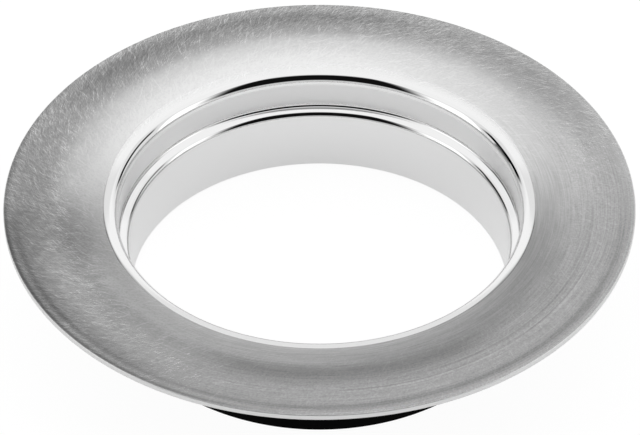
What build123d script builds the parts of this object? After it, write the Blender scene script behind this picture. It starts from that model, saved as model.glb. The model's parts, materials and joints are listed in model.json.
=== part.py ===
from build123d import *

import os
from math import atan2, cos, hypot, sin, tan

# Sink flange of a kitchen food-waste disposer.
#
# A pressed stainless steel flange drops into the sink's drain opening. Its dished rim lies on the sink
# with a rubber gasket under it, and its throat steps in to a short neck. A black plastic collar with two
# O-rings is pushed onto the neck from below and seals in the disposer's inlet.
#
# Every piece is a body of revolution about +Z. The origin is the centre of the foot of the collar, which
# is the face the flange stands on. Millimetres.

# Pressed steel flange: sheet, rim and dish
sheet = 1.15              # thickness of the stainless steel sheet
rim_radius = 57.15        # outer edge of the rim, a 4-1/2 in flange
rim_land = 11.0           # width of the flatter outer band of the rim
rim_land_fall = 0.2       # fall of that band towards the throat
dish_fall = 1.33          # fall of the steeper inner band, as far as the lip's corner
dish_bend = 130.0         # radius of the gentle bend between the two bands
rim_edge_round = 0.25     # broken edges round the outside of the rim

# Pressed steel flange: throat, shoulder and neck, all measured on the inside surface
throat_radius = 36.6      # wall just below the lip
lip_round = 1.8           # rolled lip between the dish and the throat
throat_depth = 6.83       # from the lip's corner down to the shoulder's corner
shoulder_fall = 0.67      # fall of the shoulder between throat and neck
shoulder_hollow = 0.58    # hollow round at the foot of the throat wall
shoulder_round = 1.16     # round at the top of the neck wall
neck_radius = 34.66       # inside of the neck
neck_length = 12.17       # from the shoulder's corner down to the cut end of the neck
neck_edge_round = 0.15    # broken edges at that end

# Push-on collar
push_clearance = 0.05     # radial gap between neck and collar
collar_wall = 2.14        # collar wall outside that gap
collar_foot = 0.7         # the collar stands this far below the end of the neck
collar_seat_gap = 0.15    # between the top of the collar and the underside of the shoulder
collar_edge = 0.4         # chamfer on the collar's outer edges

# O-rings and their grooves
ring_section = 1.78       # cord diameter of an O-ring
ring_stretch_gap = 0.02   # between an O-ring and the floor of its groove
groove_depth = 1.35
groove_width = 2.4
groove_count = 2
groove_pitch = 3.2        # centre to centre
groove_first = 2.6        # top of the collar to the middle of the first groove

# Rim gasket
gasket_inner = 40.5       # inner radius of the gasket
gasket_outer = 51.0       # outer radius of the gasket
gasket_thickness = 1.8    # at its inner edge, where it is thinnest
bond_gap = 0.05           # adhesive between gasket and rim

# Levels, up from the foot of the collar
neck_end = collar_foot
shoulder_low = neck_end + neck_length
shoulder_high = shoulder_low + shoulder_fall
lip_corner = shoulder_high + throat_depth
dish_corner = lip_corner + dish_fall
rim_top = dish_corner + rim_land_fall

# Corners of the pressing's top surface, from the edge of the rim inwards and down: (radius, height)
corners = [
    (rim_radius, rim_top),
    (rim_radius - rim_land, dish_corner),
    (throat_radius, lip_corner),
    (throat_radius, shoulder_high),
    (neck_radius, shoulder_low),
    (neck_radius, neck_end),
]
falls = [atan2(z0 - z1, r0 - r1) for (r0, z0), (r1, z1) in zip(corners, corners[1:])]
half_turns = [(after - before) / 2 for before, after in zip(falls, falls[1:])]

# The gentle bend takes the length that the land and the lip leave it, and no more
bend_margin = 0.05
dish_length = hypot(corners[2][0] - corners[1][0], corners[2][1] - corners[1][1])
bend_room = min(rim_land - rim_edge_round, dish_length - lip_round * tan(half_turns[1])) - bend_margin
dish_round = min(dish_bend, bend_room / tan(half_turns[0]))

# A round is positive where its centre lies under the sheet and negative where it lies over it
rounds = [dish_round, lip_round, -shoulder_hollow, shoulder_round]
least_round = 0.1         # smallest round left on the tight side of a bend


def under_surface(depth):
    """Corners and rounds of the line that runs at this depth under the top surface."""
    first, last = corners[0], corners[-1]
    line = [(first[0], first[1] - depth / cos(falls[0]))]
    for (r, z), fall, half_turn in zip(corners[1:-1], falls, half_turns):
        reach = depth / cos(half_turn)
        middle = fall + half_turn
        line.append((r + reach * sin(middle), z - reach * cos(middle)))
    line.append((last[0] + depth, last[1]))
    radii = [max(size - depth, least_round) if size > 0 else depth - size for size in rounds]
    return line, radii


def turned(outline):
    """The solid that a closed outline of (radius, height) sweeps about the Z axis."""
    return revolve(Plane.XZ * make_face(outline), axis=Axis.Z, revolution_arc=360)


def polygon(points):
    """A closed outline with sharp corners."""
    return Polyline(points, close=True)


def make_flange_shell():
    """The one-piece pressing: dished rim, rolled lip, throat, shoulder and neck."""
    top_points, top_radii = under_surface(0)
    low_points, low_radii = under_surface(sheet)
    rim_break = min(rim_edge_round, 0.4 * sheet)
    neck_break = min(neck_edge_round, 0.4 * sheet)
    points = top_points + low_points[::-1]
    radii = [rim_break, *top_radii, neck_break, neck_break, *low_radii[::-1], rim_break]
    return turned(FilletPolyline(points, radius=radii, close=True))


def make_neck_collar():
    """The plastic collar: a sleeve over the neck with a groove for each O-ring."""
    outline = polygon([
        (collar_inner, 0),
        (collar_outer - collar_edge, 0),
        (collar_outer, collar_edge),
        (collar_outer, collar_top - collar_edge),
        (collar_outer - collar_edge, collar_top),
        (collar_inner, collar_top),
    ])
    collar = turned(outline)
    for level in groove_levels:
        groove = polygon([
            (groove_floor, level - groove_width / 2),
            (collar_outer + groove_depth, level - groove_width / 2),
            (collar_outer + groove_depth, level + groove_width / 2),
            (groove_floor, level + groove_width / 2),
        ])
        collar -= turned(groove)
    return collar


def make_o_ring(level):
    """A round-section rubber ring in the groove at this level."""
    ring_radius = groove_floor + ring_stretch_gap + ring_section / 2
    return Pos(0, 0, level) * Torus(ring_radius, ring_section / 2)


def make_rim_gasket():
    """A rubber ring, flat below and fitted to the underside of the dish above."""
    contact_points, contact_radii = under_surface(sheet + bond_gap)
    (r1, z1), (r2, z2) = contact_points[1:3]
    inner_top = z1 + (z2 - z1) * (gasket_inner - r1) / (r2 - r1)
    seat = inner_top - gasket_thickness
    blank = turned(polygon([
        (gasket_inner, seat),
        (gasket_outer, seat),
        (gasket_outer, rim_top),
        (gasket_inner, rim_top),
    ]))
    over = turned(FilletPolyline(
        [*contact_points, (0, neck_end), (0, rim_top + sheet), (rim_radius, rim_top + sheet)],
        radius=[0, *contact_radii, 0, 0, 0, 0],
        close=True,
    ))
    return blank - over


# The collar follows the outside of the neck and stops under the shoulder
neck_outer = neck_radius + sheet
collar_inner = neck_outer + push_clearance
collar_outer = collar_inner + collar_wall
collar_top = under_surface(sheet)[0][4][1] - collar_seat_gap
groove_floor = collar_outer - groove_depth
groove_levels = [collar_top - groove_first - i * groove_pitch for i in range(groove_count)]

pieces = {
    "flange_shell": make_flange_shell(),
    "rim_gasket": make_rim_gasket(),
    "neck_collar": make_neck_collar(),
}
for name, level in zip(("upper_o_ring", "lower_o_ring"), groove_levels):
    pieces[name] = make_o_ring(level)

os.makedirs("parts", exist_ok=True)
for name, piece in pieces.items():
    piece.label = name
    export_step(piece, f"parts/{name}.step")
    box = piece.bounding_box()
    print(f"{name}: r {box.max.X:.2f}, z {box.min.Z:.2f} to {box.max.Z:.2f}, volume {piece.volume:.0f}")
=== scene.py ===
import json
import math

import bmesh
import bpy
from mathutils import Matrix, Vector


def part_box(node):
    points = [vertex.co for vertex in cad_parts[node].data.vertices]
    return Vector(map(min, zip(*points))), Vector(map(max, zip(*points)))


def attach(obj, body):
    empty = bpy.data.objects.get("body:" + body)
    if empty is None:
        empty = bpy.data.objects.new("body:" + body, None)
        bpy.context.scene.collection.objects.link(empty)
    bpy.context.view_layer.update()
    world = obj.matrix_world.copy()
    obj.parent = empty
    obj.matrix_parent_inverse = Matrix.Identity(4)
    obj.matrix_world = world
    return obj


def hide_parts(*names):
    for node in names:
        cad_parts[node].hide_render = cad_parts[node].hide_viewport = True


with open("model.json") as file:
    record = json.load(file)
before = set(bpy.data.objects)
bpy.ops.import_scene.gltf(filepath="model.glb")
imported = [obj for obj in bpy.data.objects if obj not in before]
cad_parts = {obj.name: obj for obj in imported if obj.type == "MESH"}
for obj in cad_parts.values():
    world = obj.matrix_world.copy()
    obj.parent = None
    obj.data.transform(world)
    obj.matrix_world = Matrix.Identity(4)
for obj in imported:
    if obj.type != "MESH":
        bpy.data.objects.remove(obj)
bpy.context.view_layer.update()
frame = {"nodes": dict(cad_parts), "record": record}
mm = 0.001
print("frame loaded:", len(frame["nodes"]), "nodes")


# ---- what the frame says about this flange
def mountRadius(name):
    mount = next(m for m in frame["record"]["mounts"] if m["name"] == name)
    return mount["dims"]["r_mm"] * mm


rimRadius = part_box("flange_shell")[1].x
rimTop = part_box("flange_shell")[1].z
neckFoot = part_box("flange_shell")[0].z
throatRadius = mountRadius("throat")
neckRadius = mountRadius("neck_bore")


# ---- camera
cameraSetup = {
    "lens": 213.1,
    "sensor": 36.0,
    "clip": (0.01, 50.0),
    "elevation": 40.449,  # degrees above the rim's plane, seen from the rim's centre
    "distance": 12.0,  # in rim radii
    "aim": (0.0001, -0.0057),  # on the rim's plane, a little in front of its centre
}


def makeCamera(setup):
    data = bpy.data.cameras.new("camera")
    data.lens = setup["lens"]
    data.sensor_width = setup["sensor"]
    data.clip_start, data.clip_end = setup["clip"]
    camera = bpy.data.objects.new("camera", data)
    bpy.context.scene.collection.objects.link(camera)
    rise = math.radians(setup["elevation"])
    reach = setup["distance"] * rimRadius
    camera.location = (0, -reach * math.cos(rise), rimTop + reach * math.sin(rise))
    aim = Vector((*setup["aim"], rimTop))
    camera.rotation_euler = (aim - camera.location).to_track_quat("-Z", "Y").to_euler()
    bpy.context.scene.camera = camera


makeCamera(cameraSetup)
bpy.context.scene.view_settings.view_transform = "Standard"
print("camera set")


# ---- node helpers
almostZero = 1e-6
noiseMiddle = 0.5
noiseSpan = (0.3, 0.7)  # most values of a noise lie between these


def plug(tree, made, inputs):
    for name, value in inputs.items():
        if isinstance(value, bpy.types.NodeSocket):
            tree.links.new(value, made.inputs[name])
        else:
            made.inputs[name].default_value = value


def addNode(tree, kind, inputs=None, **settings):
    made = tree.nodes.new("ShaderNode" + kind)
    for name, value in settings.items():
        setattr(made, name, value)
    plug(tree, made, inputs or {})
    return made


def maths(tree, operation, *values):
    made = addNode(tree, "Math", dict(enumerate(values)), operation=operation)
    return made.outputs[0]


def ramp(tree, value, start, end, low=0.0, high=1.0):
    sockets = {"Value": value, "From Min": start, "From Max": end, "To Min": low, "To Max": high}
    return addNode(tree, "MapRange", sockets, interpolation_type="SMOOTHSTEP").outputs["Result"]


def blend(tree, factor, low, high):
    return addNode(tree, "Mix", {"Factor": factor, "A": low, "B": high}).outputs["Result"]


def noise(tree, place, scale, detail, roughness=0.5):
    inputs = {"Vector": place, "Scale": scale, "Detail": detail, "Roughness": roughness}
    return addNode(tree, "TexNoise", inputs).outputs[0]


def swing(tree, value):
    return maths(tree, "SUBTRACT", value, noiseMiddle)


def fromAxis(tree, place):
    x, y, z = addNode(tree, "SeparateXYZ", {"Vector": place}).outputs
    flat = addNode(tree, "CombineXYZ", {"X": x, "Y": y}).outputs[0]
    return x, y, z, addNode(tree, "VectorMath", {0: flat}, operation="LENGTH").outputs["Value"]


def facing(tree, spot, sideX, sideY):
    # 1 on the side of the axis that faces that way, -1 on the other.
    x, y, z, reach = spot
    along = maths(tree, "ADD", maths(tree, "MULTIPLY", x, sideX), maths(tree, "MULTIPLY", y, sideY))
    return maths(tree, "DIVIDE", along, maths(tree, "MAXIMUM", reach, almostZero))


def newGroup(name, inputs, outputs):
    group = bpy.data.node_groups.new(name, "ShaderNodeTree")
    for label, value in inputs.items():
        if label == "Vector":
            group.interface.new_socket(label, in_out="INPUT", socket_type="NodeSocketVector")
        else:
            made = group.interface.new_socket(label, in_out="INPUT", socket_type="NodeSocketFloat")
            made.default_value = value
    for label in outputs:
        group.interface.new_socket(label, in_out="OUTPUT", socket_type="NodeSocketFloat")
    source = group.nodes.new("NodeGroupInput").outputs
    return group, source, group.nodes.new("NodeGroupOutput").inputs


def useGroup(tree, group, inputs):
    made = tree.nodes.new("ShaderNodeGroup")
    made.node_tree = group
    plug(tree, made, inputs)
    return made.outputs


def newMaterial(name):
    material = bpy.data.materials.new(name)
    material.use_nodes = True
    tree = material.node_tree
    place = addNode(tree, "TexCoord").outputs["Object"]
    return material, tree, tree.nodes["Principled BSDF"].inputs, place


def setTone(tree, shader, tone):
    grey = addNode(tree, "CombineColor", {"Red": tone, "Green": tone, "Blue": tone}).outputs[0]
    tree.links.new(grey, shader["Base Color"])


def setBump(tree, shader, height, strength, distance):
    bump = addNode(tree, "Bump", {"Height": height, "Strength": strength, "Distance": distance})
    tree.links.new(bump.outputs[0], shader["Normal"])


# ---- studio
# Turn is in degrees round from the camera's side, on the left and on the right alike; rise is elevation.
studio = {
    "behind": 180.0,  # the turn straight behind the part
    "zenith": 90.0,
    "topLight": 1.04,  # the large soft box overhead
    "topEdge": (74.0, 45.0),  # rise of its lower edge above the camera, where the room is dark, and behind
    "topEdgeTurn": (50, 75),
    "topFade": (-9, 4),  # that edge is soft ahead
    "topFadeBehind": (-2, 3),  # and sharper behind
    "topFadeTurn": (60, 90),
    "wallLight": (0.86, 1.06),  # pale walls at the sides, and a brighter one behind
    "wallTurn": (130, 150),
    "wallStart": (47.0, 71.0),  # how far round from the camera the walls fade in
    "wallSkew": (0.3, 2.5),  # which is sooner on the left and later on the right: reach, degrees
    "boxLight": 1.32,  # two soft boxes low down at the sides
    "boxTurn": (90, 98),
    "boxRise": (38, 52),
    "seam": 0.16,  # the faint gap between wall and overhead light, round to the sides
    "seamTurn": (140, 155),
    "seamRise": (33, 37, 41, 45),
    "darkRoom": 0.006,  # the room behind the camera
    "lowWall": (0.7, 9.0, 16.0),  # a pale partition low in front of it: light, rise of its soft top
    "gapEdge": (7.5, 12.0),  # the gap straight behind fades out this far from the middle
    "gapTop": (49, 52),  # and the overhead light closes it here
    "gapCore": (3.0, 35.2, 3.6, 0.75),  # its darkest spot: half width, rise, half height, strength
    "gapCoreFade": (0.3, 1.8),
    "gapGlow": 0.5,  # light spilling in low on its right
    "gapGlowSide": (0.0, 0.07),
    "gapGlowRise": (34, 37),
    "gapMost": (0.9, 2.0),  # the most light from its lower and from its upper part
    "gapMostRise": (34, 44),
    "floorSize": 6.0,
    "floorDrop": -0.02 * mm,
    "floorTone": 0.8,  # as other light meets it
    "floorShade": 0.08,  # how much of the floor's white follows the light, as the camera sees it
    "floorShadeInMetal": 0.6,  # and as the steel reflects it
    "floorGlow": (1.03, 0.87),  # its own white, and how much of that each share of shade takes away
}
# The gap straight behind, from below upwards: rise, light.
gapBands = (
    (26, 1.0),
    (28, 0.33),
    (30.5, 0.34),
    (33, 0.27),
    (36, 0.1),
    (38.5, 0.16),
    (41, 0.42),
    (43, 0.82),
    (47, 0.95),
    (51, 1.04),
)
# Dark light stands at the sides: side and strength, both ends as (turn, rise), and half their width.
stands = (
    (1.0, (104, 34), (114, 29), 6.0),
    (1.0, (114, 29), (130, 12), 6.0),
    (-1.0, (103, 31), (111, 20), 8.0),
    (-1.0, (111, 20), (128, 13), 9.0),
    (-0.8, (112, 16), (107, -4), 7.0),
)
# How a stand fades out: across it, round its start and round its end in degrees, and towards the other
# side of the room, over a little of the direction's x.
standFade = {"across": 1.2, "start": (-4, 2), "end": (-2, 5), "middle": 0.03}


def makeStand(tree, x, turn, rise, stand):
    strength, (startTurn, startRise), (endTurn, endRise), halfWidth = stand
    length = math.hypot(endTurn - startTurn, endRise - startRise)
    cosine, sine = (endTurn - startTurn) / length, (endRise - startRise) / length
    sideways = maths(tree, "SUBTRACT", turn, startTurn)
    up = maths(tree, "SUBTRACT", rise, startRise)
    along = maths(tree, "MULTIPLY_ADD", sideways, cosine, maths(tree, "MULTIPLY", up, sine))
    across = maths(tree, "MULTIPLY_ADD", sideways, -sine, maths(tree, "MULTIPLY", up, cosine))
    fade = standFade["across"]
    inside = ramp(tree, maths(tree, "ABSOLUTE", across), halfWidth - fade, halfWidth + fade, 1, 0)
    inside = maths(tree, "MULTIPLY", inside, ramp(tree, along, *standFade["start"]))
    near, past = standFade["end"]
    inside = maths(tree, "MULTIPLY", inside, ramp(tree, along, length + near, length + past, 1, 0))
    outward = maths(tree, "MULTIPLY", x, math.copysign(1, strength))
    side = ramp(tree, outward, -standFade["middle"], standFade["middle"])
    return maths(tree, "MULTIPLY", maths(tree, "MULTIPLY", inside, side), abs(strength))


def makeWalls(tree, setup, x, turn, rise):
    walls = ramp(tree, turn, *setup["wallTurn"], *setup["wallLight"])
    seamFrom, seamFull, seamPast, seamTo = setup["seamRise"]
    seam = ramp(tree, rise, seamFrom, seamFull)
    seam = maths(tree, "MULTIPLY", seam, ramp(tree, rise, seamPast, seamTo, 1, 0))
    seam = maths(tree, "MULTIPLY", seam, ramp(tree, turn, *setup["seamTurn"], 0, setup["seam"]))
    walls = maths(tree, "MULTIPLY", walls, maths(tree, "SUBTRACT", 1, seam))
    box = ramp(tree, turn, *setup["boxTurn"], 1, 0)
    box = maths(tree, "MULTIPLY", box, ramp(tree, rise, *setup["boxRise"], 1, 0))
    walls = maths(tree, "MAXIMUM", walls, maths(tree, "MULTIPLY", box, setup["boxLight"]))
    for stand in stands:
        left = maths(tree, "SUBTRACT", 1, makeStand(tree, x, turn, rise, stand))
        walls = maths(tree, "MULTIPLY", walls, left)
    low, lowFrom, lowTo = setup["lowWall"]
    room = ramp(tree, rise, lowFrom, lowTo, low, setup["darkRoom"])
    reach, degrees = setup["wallSkew"]
    skewed = maths(tree, "SUBTRACT", turn, ramp(tree, x, -reach, reach, -degrees, degrees))
    return blend(tree, ramp(tree, skewed, *setup["wallStart"]), room, walls)


def makeGap(tree, setup, x, aside, rise):
    bands = addNode(tree, "ValToRGB", {"Fac": maths(tree, "DIVIDE", rise, setup["zenith"])})
    stops = bands.color_ramp.elements
    for height, light in gapBands[1:-1]:
        stops.new(height / setup["zenith"])
    for stop, (height, light) in zip(stops, gapBands):
        stop.position = height / setup["zenith"]
        stop.color = (light, light, light, 1)
    halfWidth, middle, halfHeight, strength = setup["gapCore"]
    sideways = maths(tree, "DIVIDE", aside, halfWidth)
    upward = maths(tree, "DIVIDE", maths(tree, "SUBTRACT", rise, middle), halfHeight)
    away = maths(tree, "MULTIPLY_ADD", sideways, sideways, maths(tree, "MULTIPLY", upward, upward))
    core = ramp(tree, away, *setup["gapCoreFade"], 1 - strength, 1)
    gap = maths(tree, "MULTIPLY", bands.outputs["Color"], core)
    glow = ramp(tree, x, *setup["gapGlowSide"], 0, setup["gapGlow"])
    glow = maths(tree, "MULTIPLY", glow, ramp(tree, rise, *setup["gapGlowRise"], 1, 0))
    gap = maths(tree, "MULTIPLY", gap, maths(tree, "ADD", glow, 1))
    return maths(tree, "MINIMUM", gap, ramp(tree, rise, *setup["gapMostRise"], *setup["gapMost"]))


def makeTop(tree, setup, turn, rise):
    edge = ramp(tree, turn, *setup["topEdgeTurn"], *setup["topEdge"])
    above = maths(tree, "SUBTRACT", rise, edge)
    ahead = ramp(tree, above, *setup["topFade"], 0, setup["topLight"])
    behind = ramp(tree, above, *setup["topFadeBehind"], 0, setup["topLight"])
    return blend(tree, ramp(tree, turn, *setup["topFadeTurn"]), ahead, behind)


def makeWorld(setup):
    world = bpy.data.worlds.new("studio")
    bpy.context.scene.world = world
    world.use_nodes = True
    tree = world.node_tree
    tree.nodes.clear()
    place = addNode(tree, "TexCoord").outputs["Generated"]
    x, y, z = addNode(tree, "SeparateXYZ", {"Vector": place}).outputs
    rise = maths(tree, "DEGREES", maths(tree, "ARCSINE", z))
    ahead = maths(tree, "MULTIPLY", y, -1)
    turn = maths(tree, "DEGREES", maths(tree, "ARCTAN2", maths(tree, "ABSOLUTE", x), ahead))
    aside = maths(tree, "SUBTRACT", setup["behind"], turn)
    outside = ramp(tree, aside, *setup["gapEdge"])
    walls = makeWalls(tree, setup, x, turn, rise)
    low = blend(tree, outside, makeGap(tree, setup, x, aside, rise), walls)
    overGap = maths(tree, "MAXIMUM", outside, ramp(tree, rise, *setup["gapTop"]))
    top = maths(tree, "MULTIPLY", makeTop(tree, setup, turn, rise), overGap)
    light = maths(tree, "MAXIMUM", top, low)
    path = addNode(tree, "LightPath").outputs
    seen = blend(tree, path["Is Camera Ray"], light, 1.0)  # the backdrop itself is plain white
    shine = addNode(tree, "Background", {"Color": (1, 1, 1, 1), "Strength": seen})
    addNode(tree, "OutputWorld", {"Surface": shine.outputs[0]})


def makeFloor(setup):
    mesh = bpy.data.meshes.new("floor")
    bm = bmesh.new()
    bmesh.ops.create_grid(bm, x_segments=1, y_segments=1, size=setup["floorSize"] / 2)
    bmesh.ops.translate(bm, verts=bm.verts, vec=(0, 0, setup["floorDrop"]))
    bm.to_mesh(mesh)
    bm.free()
    floor = bpy.data.objects.new("floor", mesh)
    bpy.context.scene.collection.objects.link(floor)
    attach(floor, "collar")  # the collar stands on the floor, also when it is pulled off
    material = bpy.data.materials.new("paleFloor")
    material.use_nodes = True
    tree = material.node_tree
    tree.nodes.clear()
    tone = setup["floorTone"]
    pale = addNode(tree, "BsdfDiffuse", {"Color": (tone, tone, tone, 1)})
    ownWhite, lostWhite = setup["floorGlow"]
    shown = []
    for shade in (setup["floorShade"], setup["floorShadeInMetal"]):
        lit = addNode(tree, "BsdfDiffuse", {"Color": (shade, shade, shade, 1)})
        white = addNode(tree, "Emission", {"Strength": ownWhite - lostWhite * shade})
        shown.append(addNode(tree, "AddShader", {0: lit.outputs[0], 1: white.outputs[0]}).outputs[0])
    path = addNode(tree, "LightPath").outputs
    inMetal = maths(tree, "MAXIMUM", path["Is Glossy Ray"], path["Is Transmission Ray"])
    mixed = addNode(tree, "MixShader", {0: inMetal, 1: pale.outputs[0], 2: shown[1]})
    mixed = addNode(tree, "MixShader", {0: path["Is Camera Ray"], 1: mixed.outputs[0], 2: shown[0]})
    below = addNode(tree, "NewGeometry").outputs["Backfacing"]
    below = maths(tree, "MULTIPLY", below, path["Is Camera Ray"])
    clear = addNode(tree, "BsdfTransparent")  # a camera below the floor sees the part's underside
    mixed = addNode(tree, "MixShader", {0: below, 1: mixed.outputs[0], 2: clear.outputs[0]})
    addNode(tree, "OutputMaterial", {"Surface": mixed.outputs[0]})
    mesh.materials.append(material)


makeWorld(studio)
makeFloor(studio)
print("studio made")


# ---- shared effects
grainShape = {
    "radius": 50 * mm,  # the circle on which Along and Across count alike
    "apart": 7.0,  # keeps the two copies from reading the same noise
    "roughness": 0.6,
    "patches": (180.0, 2.0),  # scale, detail
    "patchReach": 1.6,
    "patchEdge": 0.04,
}
hairShape = {"fullWidth": 0.3, "fullLength": 0.5}  # the share of a hair that is at full strength


def makeGrainGroup(shape):
    # Streaks that run round the axis, turned by Angle. Two copies meet in patches, so no seam shows.
    inputs = {"Vector": None, "Angle": 0.0, "Along": 600.0, "Across": 5000.0, "Detail": 2.0}
    group, source, result = newGroup("turnedGrain", inputs, ["Value"])
    x, y, z, reach = fromAxis(group, source["Vector"])
    outward = maths(group, "SUBTRACT", reach, z)
    cosine = maths(group, "COSINE", source["Angle"])
    sine = maths(group, "SINE", source["Angle"])
    minusSine = maths(group, "MULTIPLY", sine, -1)
    grains = []
    for side in (1, -1):
        sideY = maths(group, "MULTIPLY", y, side)
        turn = maths(group, "ARCTAN2", sideY, maths(group, "MULTIPLY", x, side))
        around = maths(group, "MULTIPLY", turn, shape["radius"])
        along = maths(group, "MULTIPLY_ADD", outward, minusSine, maths(group, "MULTIPLY", around, cosine))
        across = maths(group, "MULTIPLY_ADD", around, sine, maths(group, "MULTIPLY", outward, cosine))
        spot = {
            "X": maths(group, "MULTIPLY", along, source["Along"]),
            "Y": maths(group, "MULTIPLY", across, source["Across"]),
            "Z": side * shape["apart"],
        }
        spot = addNode(group, "CombineXYZ", spot).outputs[0]
        grains.append(noise(group, spot, 1.0, source["Detail"], shape["roughness"]))
    patch = swing(group, noise(group, source["Vector"], *shape["patches"]))
    lean = maths(group, "DIVIDE", x, maths(group, "ADD", reach, almostZero))
    lean = maths(group, "MULTIPLY_ADD", patch, shape["patchReach"], lean)
    right = ramp(group, lean, -shape["patchEdge"], shape["patchEdge"])
    group.links.new(blend(group, right, grains[1], grains[0]), result["Value"])
    return group


def makeHairGroup(shape):
    # One short straight scratch in each cell, laid about Angle from the direction round the axis.
    inputs = {"Vector": None, "Cells": 500.0, "Length": 0.8 * mm, "Width": 0.08 * mm}
    inputs.update({"Angle": 0.5, "Spread": 0.6})
    group, source, result = newGroup("hairScratches", inputs, ["Mask"])
    cellInputs = {"Vector": source["Vector"], "Scale": source["Cells"], "Randomness": 1.0}
    cells = addNode(group, "TexVoronoi", cellInputs, voronoi_dimensions="2D", feature="F1").outputs
    x, y, z = addNode(group, "SeparateXYZ", {"Vector": cells["Position"]}).outputs
    red, green, blue = addNode(group, "SeparateColor", {"Color": cells["Color"]}).outputs
    lay = maths(group, "ADD", maths(group, "ARCTAN2", y, x), math.pi / 2)
    lay = maths(group, "ADD", lay, source["Angle"])
    lay = maths(group, "MULTIPLY_ADD", swing(group, red), source["Spread"], lay)
    gap = addNode(group, "VectorMath", {0: source["Vector"], 1: cells["Position"]}, operation="SUBTRACT")
    turning = {"Vector": gap.outputs[0], "Angle": maths(group, "MULTIPLY", lay, -1)}
    turned = addNode(group, "VectorRotate", turning, rotation_type="Z_AXIS").outputs[0]
    along, across, up = addNode(group, "SeparateXYZ", {"Vector": turned}).outputs
    line = green  # each hair has a strength of its own
    for away, end, full in ((across, "Width", "fullWidth"), (along, "Length", "fullLength")):
        away = maths(group, "ABSOLUTE", away)
        start = maths(group, "MULTIPLY", source[end], shape[full])
        line = maths(group, "MULTIPLY", line, ramp(group, away, start, source[end], 1, 0))
    group.links.new(line, result["Mask"])
    return group


turnedGrain = makeGrainGroup(grainShape)
hairScratches = makeHairGroup(hairShape)


def grain(tree, place, angle, along, across, detail):
    inputs = {"Vector": place, "Angle": angle, "Along": along, "Across": across, "Detail": detail}
    return useGroup(tree, turnedGrain, inputs)["Value"]


# ---- steel
steel = {
    "polished": (0.84, 0.05),  # the lip and the shoulder: tone, roughness
    "throatWall": (0.9, 0.5),  # the drawn walls between and below them are satin
    "neckWall": (0.88, 0.22),
    "lipFoot": (18.4 * mm, 18.9 * mm),  # heights between which one of these turns into the next
    "ledgeTop": (13.9 * mm, 14.3 * mm),
    "neckTop": (11.4 * mm, 11.9 * mm),
    "brushed": 0.8,
    "brushedReach": (40 * mm, 50 * mm),
    "brushedRoughness": (0.13, 0.24),  # at its inside and its outside
    "brushedMetallic": 0.65,  # the scratches scatter some light all round
    "brightest": 0.95,
    "outerShade": (44.5 * mm, 52.0 * mm, 0.63),  # painted shade darkens the outer ring: from, to, tone left
    "cutEdge": (0.86, 0.15),  # the rim's cut edge: tone, roughness on top of the brushed one
    "cutReach": (56.98 * mm, 57.12 * mm),
    "polishEdge": 39.12 * mm,  # radius at which the brushed ring starts
    "polishWobble": 0.3 * mm,
    "polishSide": (0.1, 0.8),  # that border is sharp in front and soft behind
    "polishFade": (0.1 * mm, 1.4 * mm),
    "polishSpan": (-0.7, 1.3),
    "polishStep": (37.8 * mm, 39.05 * mm, 0.08 * mm),  # a shallow bevel next to it: from, to, depth
    "wobble": (260.0, 2.0),  # noises: scale, detail, roughness
    "clouds": (380.0, 4.0, 0.6),
    "grit": (2600.0, 2.0),
    "rings": (0.0, 90.0, 4200.0, 3.0),  # grain: angle, along, across, detail
    "workedSide": (-0.64, 0.77),  # the scratches are strongest behind and to the left
    "workedSpan": (-0.9, 0.9, 0.38, 1),
    "workedStart": (38.5 * mm, 46 * mm, 0.3, 1),
    "workedShift": (-0.4, 0.6, 0, 7 * mm),  # behind, they start further out
    "patchy": (0.38, 0.58, 0.8, 1),  # and a little uneven
    "crossing": (0.4, 0.56, 0.4, 1),  # in front and to the right few of them cross the ring
    "turning": (0.4, 0.75, 0.75, 0.15),  # the turning lines show most where the scratches are few
    "gritty": (42 * mm, 48 * mm, 0, 0.6),  # fine grit also lies where there are few scratches
    "brushAngle": math.radians(47),  # the hand-laid scratches cross the ring's direction
    "darkStroke": (0.3, 0.46, 0.7, 0),  # the low and the high part of the grain
    "brightStroke": (0.5, 0.68, 0, 1),
    "strokeDetail": 1.0,
    "strokeRoughness": 0.05,
    "hairGlint": 1.0,
    "strokeLight": 0.21,
    "cloudLight": 0.32,
    "gritLight": 1.0,
    "hairRelief": -0.0015 * mm,
    "strokeRelief": -0.0012 * mm,
    "ringRelief": 0.0012 * mm,
}
# Long thin strokes: degrees from the brush angle, how fine they are along and across, and a shift that
# gives each set its own noise.
strokeSets = (
    (-24, 400.0, 8500.0, 0.0),
    (-4, 360.0, 10000.0, 3.1 * mm),
    (19, 440.0, 8000.0, 7.7 * mm),
)
# Single hair scratches, one in each cell: cells, length, width, spread of their direction.
hairSets = (
    (230.0, 2.4 * mm, 0.1 * mm, 1.2),
    (360.0, 1.5 * mm, 0.1 * mm, 1.0),
    (560.0, 1.0 * mm, 0.1 * mm, 1.3),
)
# Painted shade on the left of the brushed ring and painted light on its right: place, reach, change of
# tone, radius it starts at, in mm.
patches = (
    (-50.0, 4.0, 20.0, -0.2, 45.0),
    (-43.0, -9.0, 15.0, -0.3, 38.0),
    (-41.0, 33.0, 22.0, -0.12, 46.0),
    (53.0, 12.0, 26.0, 0.28, 45.0),
)
patchFade = 5  # and how far they take to come in
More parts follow.
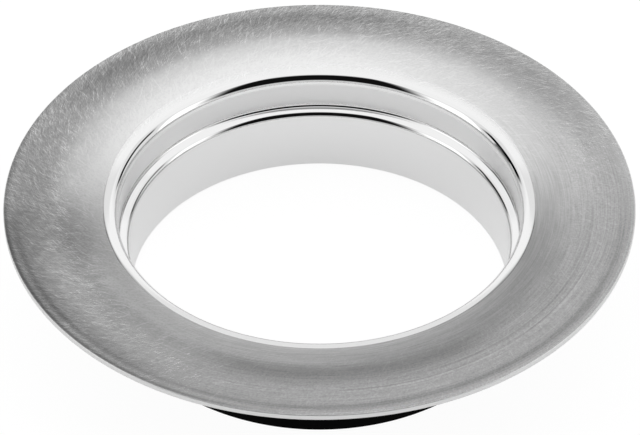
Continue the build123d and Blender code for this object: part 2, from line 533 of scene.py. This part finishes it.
# Bands of painted light and shade round the ring, each on one side only: radius, half width in mm, change
# of tone, the middle of the side they show on and how far they reach round from it, in degrees.
paintedBands = (
    (56.6, 1.5, 0.25, 80, 95),
    (55.2, 1.4, 0.16, 72, 60),
    (51.5, 3.0, 0.2, 285, 95),
    (55.1, 0.9, -0.22, 270, 95),
    (53.2, 4.0, -0.26, 108, 45),
    (49.3, 2.5, -0.14, 105, 45),
    (54.2, 4.5, -0.28, 210, 34),
    (55.8, 2.6, -0.2, 201, 20),
    (57.0, 1.2, -0.32, 200, 70),
    (43.5, 6.0, -0.08, 290, 70),
    (45.6, 3.0, -0.08, 265, 110),
    (41.0, 4.5, 0.13, 135, 85),
    (46.6, 3.6, -0.26, 277, 38),
    (42.9, 2.4, 0.14, 240, 45),
    (56.7, 0.9, 0.2, 312, 60),
    (53.6, 1.2, 0.1, 312, 60),
    (51.5, 4.5, 0.06, 312, 70),
    (51.3, 0.35, 0.15, 308, 45),
    (50.9, 0.3, -0.18, 308, 45),
    (49.5, 0.35, -0.17, 318, 40),
    (56.8, 0.6, -0.2, 218, 40),
    (46.0, 5.0, -0.14, 205, 32),
)


# Painted light and shade on the brushed ring, as a factor on its tone: the patches and the bands.
def ringLightAndShade(tree, spot):
    x, y, z, reach = spot
    change = 0.0
    for left, front, size, strength, start in patches:
        along = maths(tree, "SUBTRACT", x, left * mm)
        across = maths(tree, "SUBTRACT", y, front * mm)
        away = maths(tree, "MULTIPLY_ADD", along, along, maths(tree, "MULTIPLY", across, across))
        patch = ramp(tree, maths(tree, "SQRT", away), 0, size * mm, strength, 0)
        inside = ramp(tree, reach, start * mm, (start + patchFade) * mm)
        change = maths(tree, "MULTIPLY_ADD", patch, inside, change)
    for radius, halfWidth, strength, middle, spread in paintedBands:
        away = maths(tree, "ABSOLUTE", maths(tree, "SUBTRACT", reach, radius * mm))
        band = ramp(tree, away, 0, halfWidth * mm, strength, 0)
        middle, spread = math.radians(middle), math.radians(spread)
        side = facing(tree, spot, math.cos(middle), math.sin(middle))
        side = ramp(tree, side, math.cos(spread), math.cos(spread / 2))
        change = maths(tree, "MULTIPLY_ADD", band, side, change)
    return maths(tree, "ADD", change, 1)


def makeStrokes(tree, place, finish):
    strokes = 0.0
    for turn, along, across, shift in strokeSets:
        spots = addNode(tree, "VectorMath", {0: place, 1: (0, 0, shift)}, operation="ADD").outputs[0]
        angle = finish["brushAngle"] + math.radians(turn)
        lines = grain(tree, spots, angle, along, across, finish["strokeDetail"])
        strokes = maths(tree, "ADD", strokes, ramp(tree, lines, *finish["brightStroke"]))
        strokes = maths(tree, "SUBTRACT", strokes, ramp(tree, lines, *finish["darkStroke"]))
    return strokes


def makeHairs(tree, place, finish):
    hairs = 0.0
    for cells, length, width, spread in hairSets:
        inputs = {"Vector": place, "Cells": cells, "Length": length, "Width": width}
        inputs.update({"Angle": finish["brushAngle"], "Spread": spread})
        hairs = maths(tree, "MAXIMUM", hairs, useGroup(tree, hairScratches, inputs)["Mask"])
    return hairs


def makeFlangeSteel(finish):
    material, tree, shader, place = newMaterial("brushedSteel")
    spot = fromAxis(tree, place)
    x, y, z, reach = spot
    behind = facing(tree, spot, 0, 1)
    wobble = swing(tree, noise(tree, place, *finish["wobble"]))
    edge = maths(tree, "MULTIPLY_ADD", wobble, finish["polishWobble"], reach)
    fade = ramp(tree, behind, *finish["polishSide"], *finish["polishFade"])
    inset = maths(tree, "DIVIDE", maths(tree, "SUBTRACT", edge, finish["polishEdge"]), fade)
    brushed = ramp(tree, inset, *finish["polishSpan"])
    cut = ramp(tree, reach, *finish["cutReach"])

    # How strongly the scratches show.
    lean = ramp(tree, facing(tree, spot, *finish["workedSide"]), *finish["workedSpan"])
    start = maths(tree, "SUBTRACT", reach, ramp(tree, behind, *finish["workedShift"]))
    worked = maths(tree, "MULTIPLY", ramp(tree, start, *finish["workedStart"]), lean)
    worked = maths(tree, "MULTIPLY", worked, brushed)
    clouds = noise(tree, place, *finish["clouds"])
    crossing = maths(tree, "MULTIPLY", worked, ramp(tree, clouds, *finish["patchy"]))
    crossing = maths(tree, "MULTIPLY", crossing, ramp(tree, lean, *finish["crossing"]))
    gritty = maths(tree, "MULTIPLY", brushed, ramp(tree, reach, *finish["gritty"]))
    gritty = maths(tree, "MAXIMUM", gritty, worked)

    strokes = maths(tree, "MULTIPLY", makeStrokes(tree, place, finish), crossing)
    hairs = maths(tree, "MULTIPLY", makeHairs(tree, place, finish), crossing)
    rings = maths(tree, "MULTIPLY", swing(tree, grain(tree, place, *finish["rings"])), brushed)
    mottle = maths(tree, "MULTIPLY", swing(tree, clouds), worked)
    grit = maths(tree, "MULTIPLY", swing(tree, noise(tree, place, *finish["grit"])), gritty)

    # The lip and the shoulder are polished, the walls are not.
    lip = ramp(tree, z, *finish["lipFoot"])
    aboveNeck = ramp(tree, z, *finish["neckTop"])
    ledge = maths(tree, "MULTIPLY", aboveNeck, ramp(tree, z, *finish["ledgeTop"], 1, 0))
    polished = maths(tree, "ADD", lip, ledge)
    smooth = []
    for neck, throat, shiny in zip(finish["neckWall"], finish["throatWall"], finish["polished"]):
        walls = ramp(tree, aboveNeck, 0, 1, neck, throat)
        smooth.append(blend(tree, polished, walls, shiny))
    smoothTone, smoothRoughness = smooth

    # The outer ring is darkened with painted shade, and the painted light and shade of the patches and
    # bands lies over it.
    shadeFrom, shadeTo, shadeTone = finish["outerShade"]
    cutTone, cutRoughness = finish["cutEdge"]
    brushedShaded = maths(tree, "MULTIPLY", ramp(tree, reach, shadeFrom, shadeTo, 1, shadeTone), finish["brushed"])
    brushedShaded = maths(tree, "MULTIPLY", brushedShaded, ringLightAndShade(tree, spot))
    tone = blend(tree, brushed, smoothTone, brushedShaded)
    # The hair scratches are painted as glints, lighter than the steel round them; their relief below is
    # real.
    change = maths(tree, "MULTIPLY", hairs, finish["hairGlint"])
    change = maths(tree, "MULTIPLY_ADD", strokes, finish["strokeLight"], change)
    change = maths(tree, "MULTIPLY_ADD", rings, ramp(tree, lean, *finish["turning"]), change)
    change = maths(tree, "MULTIPLY_ADD", mottle, finish["cloudLight"], change)
    change = maths(tree, "MULTIPLY_ADD", grit, finish["gritLight"], change)
    tone = maths(tree, "MULTIPLY", tone, maths(tree, "ADD", change, 1))
    tone = blend(tree, cut, tone, cutTone)
    setTone(tree, shader, maths(tree, "MINIMUM", tone, finish["brightest"]))

    rough = ramp(tree, reach, *finish["brushedReach"], *finish["brushedRoughness"])
    rough = maths(tree, "MULTIPLY_ADD", strokes, finish["strokeRoughness"], rough)
    rough = blend(tree, brushed, smoothRoughness, rough)
    rough = maths(tree, "MULTIPLY_ADD", cut, cutRoughness, rough)
    tree.links.new(rough, shader["Roughness"])

    relief = maths(tree, "MULTIPLY", hairs, finish["hairRelief"])
    relief = maths(tree, "MULTIPLY_ADD", strokes, finish["strokeRelief"], relief)
    relief = maths(tree, "MULTIPLY_ADD", rings, finish["ringRelief"], relief)
    stepFrom, stepTo, stepDepth = finish["polishStep"]
    step = maths(tree, "SUBTRACT", reach, stepFrom)
    step = maths(tree, "DIVIDE", step, maths(tree, "ADD", fade, stepTo - stepFrom))
    relief = maths(tree, "ADD", relief, ramp(tree, step, 0, 1, 0, stepDepth))
    setBump(tree, shader, relief, strength=1.0, distance=1.0)
    tree.links.new(blend(tree, brushed, 1.0, finish["brushedMetallic"]), shader["Metallic"])
    return material


# The hidden side keeps the dull skin of the pressed sheet, with fine drawing lines round it.
dullSteel = {
    "lines": (0.0, 40.0, 2600.0, 3.0),  # grain: angle, along, across, detail
    "clouds": (140.0, 4.0),  # noise: scale, detail
    "lineTone": (0.5, 0.58),
    "cloudTone": (-0.04, 0.04),
    "roughness": (0.36, 0.46),
    "relief": (1.0, 0.0025 * mm),  # strength, depth
}


def makeDrawnSteel(finish):
    material, tree, shader, place = newMaterial("drawnSteel")
    lines = grain(tree, place, *finish["lines"])
    clouds = noise(tree, place, *finish["clouds"])
    tone = ramp(tree, lines, *noiseSpan, *finish["lineTone"])
    setTone(tree, shader, maths(tree, "ADD", tone, ramp(tree, clouds, *noiseSpan, *finish["cloudTone"])))
    tree.links.new(ramp(tree, clouds, *noiseSpan, *finish["roughness"]), shader["Roughness"])
    setBump(tree, shader, lines, *finish["relief"])
    shader["Metallic"].default_value = 1.0
    return material


# ---- black parts
rubber = {
    "dust": (90.0, 5.0, 0.65),
    "dustTone": (0.45, 0.75, 1.0, 1.8),
    "dustSpan": (0.4, 0.7),
    "speckTone": (0.8, 1.2),
    "relief": (0.6, 0.03 * mm),
    "specular": 0.3,
}
gasketFinish = {"tone": 0.02, "roughness": (0.62, 0.77), "speck": (1500.0, 4.0)}
sealFinish = {"tone": 0.012, "roughness": (0.45, 0.6), "speck": (2600.0, 4.0)}
plastic = {
    # Black plastic with painted shade: the tone is far darker than black plastic, standing in for the
    # shade under the rim.
    "tone": 0.0015,
    "lines": (0.0, 30.0, 1800.0, 2.0),
    "lineTone": (0.8, 1.25),
    "roughness": (0.5, 0.62),
    "speck": (2200.0, 3.0),
    "relief": (0.5, 0.02 * mm),
    "specular": 0.03,
}


def makeRubber(name, finish):
    material, tree, shader, place = newMaterial(name)
    speck = noise(tree, place, *finish["speck"])
    dust = noise(tree, place, *rubber["dust"])
    tone = maths(tree, "MULTIPLY", ramp(tree, dust, *rubber["dustTone"]), finish["tone"])
    tone = maths(tree, "MULTIPLY", tone, ramp(tree, speck, *noiseSpan, *rubber["speckTone"]))
    setTone(tree, shader, tone)
    tree.links.new(ramp(tree, dust, *rubber["dustSpan"], *finish["roughness"]), shader["Roughness"])
    setBump(tree, shader, speck, *rubber["relief"])
    shader["Specular IOR Level"].default_value = rubber["specular"]
    return material


def makeMouldedPlastic(finish):
    material, tree, shader, place = newMaterial("shadedBlackPlastic")
    speck = noise(tree, place, *finish["speck"])
    lines = grain(tree, place, *finish["lines"])
    tone = ramp(tree, lines, *noiseSpan, *finish["lineTone"])
    setTone(tree, shader, maths(tree, "MULTIPLY", tone, finish["tone"]))
    tree.links.new(ramp(tree, lines, *noiseSpan, *finish["roughness"]), shader["Roughness"])
    setBump(tree, shader, speck, *finish["relief"])
    shader["Specular IOR Level"].default_value = finish["specular"]
    return material


flangeSteel = makeFlangeSteel(steel)
drawnSteel = makeDrawnSteel(dullSteel)
gasketRubber = makeRubber("gasketRubber", gasketFinish)
sealRubber = makeRubber("sealRubber", sealFinish)
shadedBlackPlastic = makeMouldedPlastic(plastic)
print("materials made")


# ---- turning helpers
touching = 0.01 * mm  # closer than this counts as the same place
mergeReach = 0.001 * mm  # and closer than this is merged


def wire(bm, outline, closed):
    corners = [bm.verts.new((radius, 0, height)) for radius, height in outline]
    for start, end in zip(corners, corners[1:]):
        bm.edges.new((start, end))
    if closed:
        bm.edges.new((corners[-1], corners[0]))
    return corners


def roundCorner(bm, corner, radius, segments):
    first, second = [(edge.other_vert(corner).co - corner.co).normalized() for edge in corner.link_edges]
    turn = math.pi - first.angle(second)
    bmesh.ops.bevel(
        bm,
        geom=[corner],
        offset=radius * math.tan(turn / 2),
        offset_type="OFFSET",
        segments=segments,
        profile=0.5,
        affect="VERTICES",
        material=-1,
    )


def spinRound(bm, steps):
    everything = bm.verts[:] + bm.edges[:]
    bmesh.ops.spin(
        bm, geom=everything, cent=(0, 0, 0), axis=(0, 0, 1), angle=math.tau, steps=steps, use_merge=True
    )
    bmesh.ops.remove_doubles(bm, verts=bm.verts, dist=mergeReach)
    bmesh.ops.recalc_face_normals(bm, faces=bm.faces)


def finishPiece(bm, name, node, body, materials, sharp=35):  # degrees
    mesh = bpy.data.meshes.new(name)
    bm.to_mesh(mesh)
    bm.free()
    for face in mesh.polygons:
        face.use_smooth = True
    mesh.set_sharp_from_angle(angle=math.radians(sharp))
    for material in materials:
        mesh.materials.append(material)
    piece = bpy.data.objects.new(name, mesh)
    bpy.context.scene.collection.objects.link(piece)
    steady = piece.modifiers.new("even shading", "WEIGHTED_NORMAL")
    steady.keep_sharp = True
    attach(piece, body)
    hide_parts(node)


# ---- the pressed steel flange
flange = {
    "sheet": 1.15 * mm,
    "land": 11.0 * mm,  # the flat outer ring
    "landFall": 0.2 * mm,
    "dishFall": 1.33 * mm,
    "dishBend": 130.0 * mm,
    "lipRound": 1.8 * mm,
    "throatDepth": 6.83 * mm,
    "shoulderFall": 0.67 * mm,
    "hollowRound": 0.58 * mm,
    "shoulderRound": 1.16 * mm,
    "edgeRound": 0.25 * mm,
    "footRound": 0.15 * mm,
    "roundSegments": (8, 14, 8, 10),
    "edgeSegments": 4,
    "footSegments": 3,
    "hiddenSlope": 0.3,  # faces that look down or outwards by more than this keep the dull skin
    "steps": 480,
}


def edgesAt(bm, test):
    found = []
    for edge in bm.edges:
        if all(test(math.hypot(vertex.co.x, vertex.co.y), vertex.co.z) for vertex in edge.verts):
            found.append(edge)
    return found


def roundEdges(bm, edges, radius, segments):
    bmesh.ops.bevel(
        bm,
        geom=edges,
        offset=radius,
        offset_type="OFFSET",
        segments=segments,
        profile=0.5,
        affect="EDGES",
        material=-1,
    )


def makeFlange(size):
    bm = bmesh.new()
    dishTop = rimTop - size["landFall"]
    lipTop = dishTop - size["dishFall"]
    ledgeTop = lipTop - size["throatDepth"]
    outline = [
        (rimRadius, rimTop),
        (rimRadius - size["land"], dishTop),
        (throatRadius, lipTop),
        (throatRadius, ledgeTop),
        (neckRadius, ledgeTop - size["shoulderFall"]),
        (neckRadius, neckFoot),
    ]
    corners = wire(bm, outline, closed=False)
    rounds = (size["dishBend"], size["lipRound"], size["hollowRound"], size["shoulderRound"])
    for corner, radius, segments in zip(corners[1:], rounds, size["roundSegments"]):
        roundCorner(bm, corner, radius, segments)
    spinRound(bm, size["steps"])
    if sum(face.normal.z * face.calc_area() for face in bm.faces) < 0:
        bmesh.ops.reverse_faces(bm, faces=bm.faces)
    bmesh.ops.solidify(bm, geom=bm.faces[:], thickness=size["sheet"])
    for vertex in bm.verts:  # the cut edge of the rim stands upright
        reach = math.hypot(vertex.co.x, vertex.co.y)
        if reach > rimRadius - size["edgeRound"]:
            vertex.co.xy *= rimRadius / reach
    rim = edgesAt(bm, lambda reach, height: reach > rimRadius - touching)
    roundEdges(bm, rim, size["edgeRound"], size["edgeSegments"])
    foot = edgesAt(bm, lambda reach, height: height < neckFoot + touching)
    roundEdges(bm, foot, size["footRound"], size["footSegments"])
    for face in bm.faces:
        middle = face.calc_center_median()
        reach = math.hypot(middle.x, middle.y)
        outward = (face.normal.x * middle.x + face.normal.y * middle.y) / reach
        slope = size["hiddenSlope"]
        hidden = face.normal.z < -slope or (outward > slope and reach < rimRadius - size["sheet"])
        face.material_index = 1 if hidden else 0
    materials = [flangeSteel, drawnSteel]
    finishPiece(bm, "pressed_flange", "flange_shell", "flange", materials)


makeFlange(flange)
print("flange made")


# ---- the rubber gasket under the rim
gasket = {
    "inner": 40.5 * mm,
    "innerThickness": 1.785 * mm,
    "crown": 0.107 * mm,  # how far its upper face bows up to follow the dish
    "dishBend": 128.8 * mm,
    "edgeRound": 0.25 * mm,
    "edgeSegments": 4,
    "bendSegments": 6,
    "steps": 192,
}


def makeGasket(size):
    low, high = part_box("rim_gasket")
    innerTop = low.z + size["innerThickness"]
    bm = bmesh.new()
    outline = [
        (size["inner"], low.z),
        (high.x, low.z),
        (high.x, high.z),
        ((size["inner"] + high.x) / 2, (innerTop + high.z) / 2 + size["crown"]),
        (size["inner"], innerTop),
    ]
    corners = wire(bm, outline, closed=True)
    for corner in (corners[0], corners[1], corners[2], corners[4]):
        roundCorner(bm, corner, size["edgeRound"], size["edgeSegments"])
    roundCorner(bm, corners[3], size["dishBend"], size["bendSegments"])
    spinRound(bm, size["steps"])
    finishPiece(bm, "rubber_gasket", "rim_gasket", "flange", [gasketRubber])


makeGasket(gasket)
print("gasket made")


# ---- the black collar on the neck, and its two O-rings
collar = {
    "clearance": 0.05 * mm,
    "edge": 0.1 * mm,
    "edgeRound": 0.04 * mm,
    "grooveDepth": 1.35 * mm,
    "grooveWidth": 2.4 * mm,
    "grooveRound": 0.15 * mm,
    "segments": 3,
    "steps": 256,
}
oRing = {
    "sectionSteps": 24,
    "steps": 256,
    "flash": 0.03 * mm,  # the fine ridge left by the mould
    "sharp": 80,  # which is shaded smooth
}


def makeCollar(size):
    low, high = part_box("neck_collar")
    inner = neckRadius + flange["sheet"] + size["clearance"]
    floor = high.x - size["grooveDepth"]
    edge = size["edge"]
    bm = bmesh.new()
    outline = [(inner, low.z), (high.x - edge, low.z), (high.x, low.z + edge)]
    for name in ("lower_o_ring", "upper_o_ring"):
        ringLow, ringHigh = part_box(name)
        middle = (ringLow.z + ringHigh.z) / 2
        bottom, top = middle - size["grooveWidth"] / 2, middle + size["grooveWidth"] / 2
        outline += [(high.x, bottom), (floor, bottom), (floor, top), (high.x, top)]
    outline += [(high.x, high.z - edge), (high.x - edge, high.z), (inner, high.z)]
    corners = wire(bm, outline, closed=True)
    for index, corner in enumerate(corners):
        inGroove = corner.co.x < floor + touching and 0 < index < len(corners) - 1
        radius = size["grooveRound"] if inGroove else size["edgeRound"]
        roundCorner(bm, corner, radius, size["segments"])
    spinRound(bm, size["steps"])
    finishPiece(bm, "moulded_collar", "neck_collar", "collar", [shadedBlackPlastic])


def makeORing(node, size):
    low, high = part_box(node)
    section = (high.z - low.z) / 2
    bm = bmesh.new()
    bmesh.ops.create_circle(bm, cap_ends=False, radius=section, segments=size["sectionSteps"])
    bmesh.ops.rotate(bm, verts=bm.verts, cent=(0, 0, 0), matrix=Matrix.Rotation(math.pi / 2, 3, "X"))
    for vertex in bm.verts:
        if abs(vertex.co.z) < mergeReach:
            vertex.co.x -= math.copysign(size["flash"], vertex.co.x)
    bmesh.ops.translate(bm, verts=bm.verts, vec=(high.x - section, 0, (low.z + high.z) / 2))
    spinRound(bm, size["steps"])
    name = node.replace("_o_ring", "_seal")
    finishPiece(bm, name, node, "collar", [sealRubber], sharp=size["sharp"])


makeCollar(collar)
makeORing("upper_o_ring", oRing)
makeORing("lower_o_ring", oRing)
print("collar and seals made")
